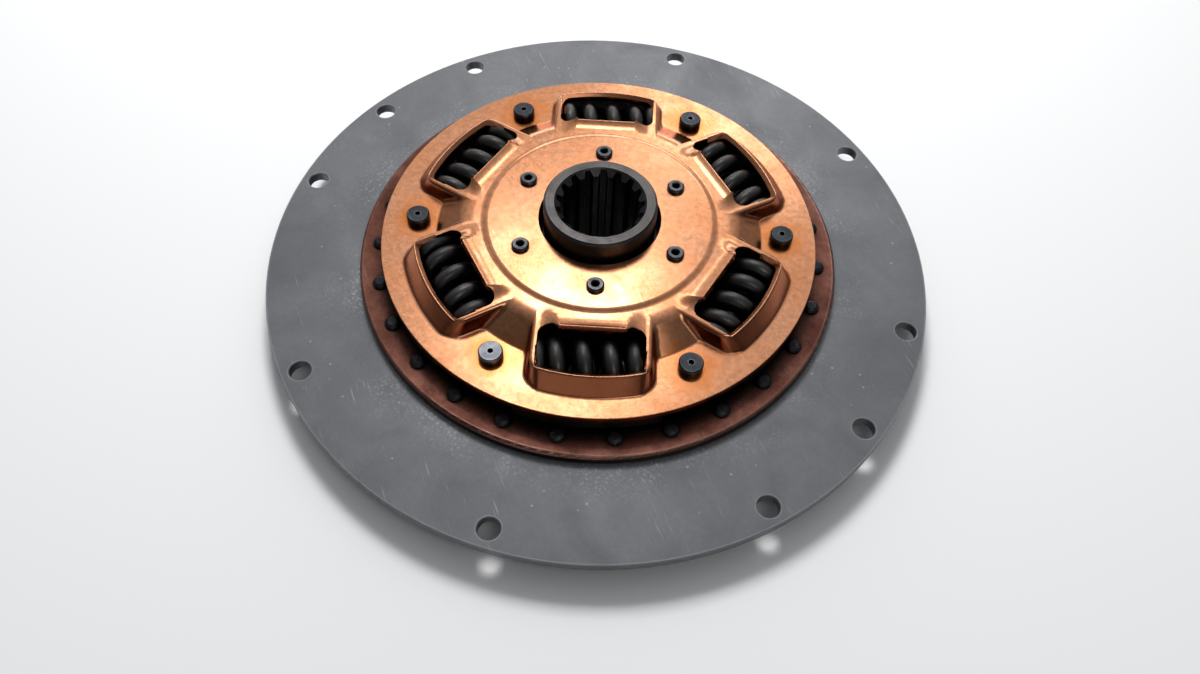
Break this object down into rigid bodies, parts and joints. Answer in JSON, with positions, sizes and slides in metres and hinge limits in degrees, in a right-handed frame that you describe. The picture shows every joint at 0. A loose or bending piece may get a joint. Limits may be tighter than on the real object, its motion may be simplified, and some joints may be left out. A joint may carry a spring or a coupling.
{
  "type": "torsional vibration damper",
  "caption": "Bolt-on torsional vibration damper with nested coil springs in pressed windows, stop pins, a copper-coated cover and a splined hub.",
  "frame": {"origin": "centre of the hub's rear end face, which is also the middle of the part's lower face", "axes": "+Z along the axis of rotation towards the front cover, +X through one of the two added bolt holes"},
  "size_m": [0.3524, 0.3524, 0.0575],
  "materials": {
    "plate_steel": "satin grey rolled steel plate",
    "ring_rivet_steel": "blackened steel rivets",
    "dusky_copper": "thin copper coating on steel, dusty and worn",
    "bright_copper": "bright copper coating on pressed steel",
    "pack_steel": "dark hardened steel",
    "bright_rivet_steel": "zinc-grey tubular rivets",
    "friction_lining": "moulded friction lining",
    "bush_plastic": "dark moulded bearing plastic",
    "hub_steel": "dark forged steel with a turned end",
    "pin_steel": "blued steel",
    "spring_steel": "black oil-hardened spring wire"
  },
  "bodies": {
    "drive_side": {"flange_plate": "plate_steel", "ring_rivets": "ring_rivet_steel", "rear_cover": "dusky_copper", "front_cover": "bright_copper", "carrier_ring": "pack_steel", "cover_rivets": "bright_rivet_steel", "coned_spring": "pack_steel", "pressure_plate": "pack_steel", "front_friction_washer": "friction_lining", "rear_friction_washer": "friction_lining", "centring_bush": "bush_plastic", "stop_pin_1": "pin_steel", "stop_pin_2": "pin_steel", "stop_pin_3": "pin_steel", "stop_pin_4": "pin_steel", "stop_pin_5": "pin_steel", "stop_pin_6": "pin_steel", "outer_spring_1": "spring_steel", "outer_spring_2": "spring_steel", "outer_spring_3": "spring_steel", "outer_spring_4": "spring_steel", "outer_spring_5": "spring_steel", "outer_spring_6": "spring_steel", "inner_spring_1": "spring_steel", "inner_spring_2": "spring_steel", "inner_spring_3": "spring_steel", "inner_spring_4": "spring_steel", "inner_spring_5": "spring_steel", "inner_spring_6": "spring_steel"},
    "driven_hub": {"hub": "hub_steel"}
  },
  "joints": [
    {"name": "hub_twist", "type": "hinge", "parent": "drive_side", "child": "driven_hub", "pos_m": [0, 0, 0.0275], "axis": [0, 0, 1], "range_deg": [-6, 6], "stiffness_Nm_per_rad": 300, "deforming": ["outer_spring_1", "outer_spring_2", "outer_spring_3", "outer_spring_4", "outer_spring_5", "outer_spring_6", "inner_spring_1", "inner_spring_2", "inner_spring_3", "inner_spring_4", "inner_spring_5", "inner_spring_6"]}
  ]
}
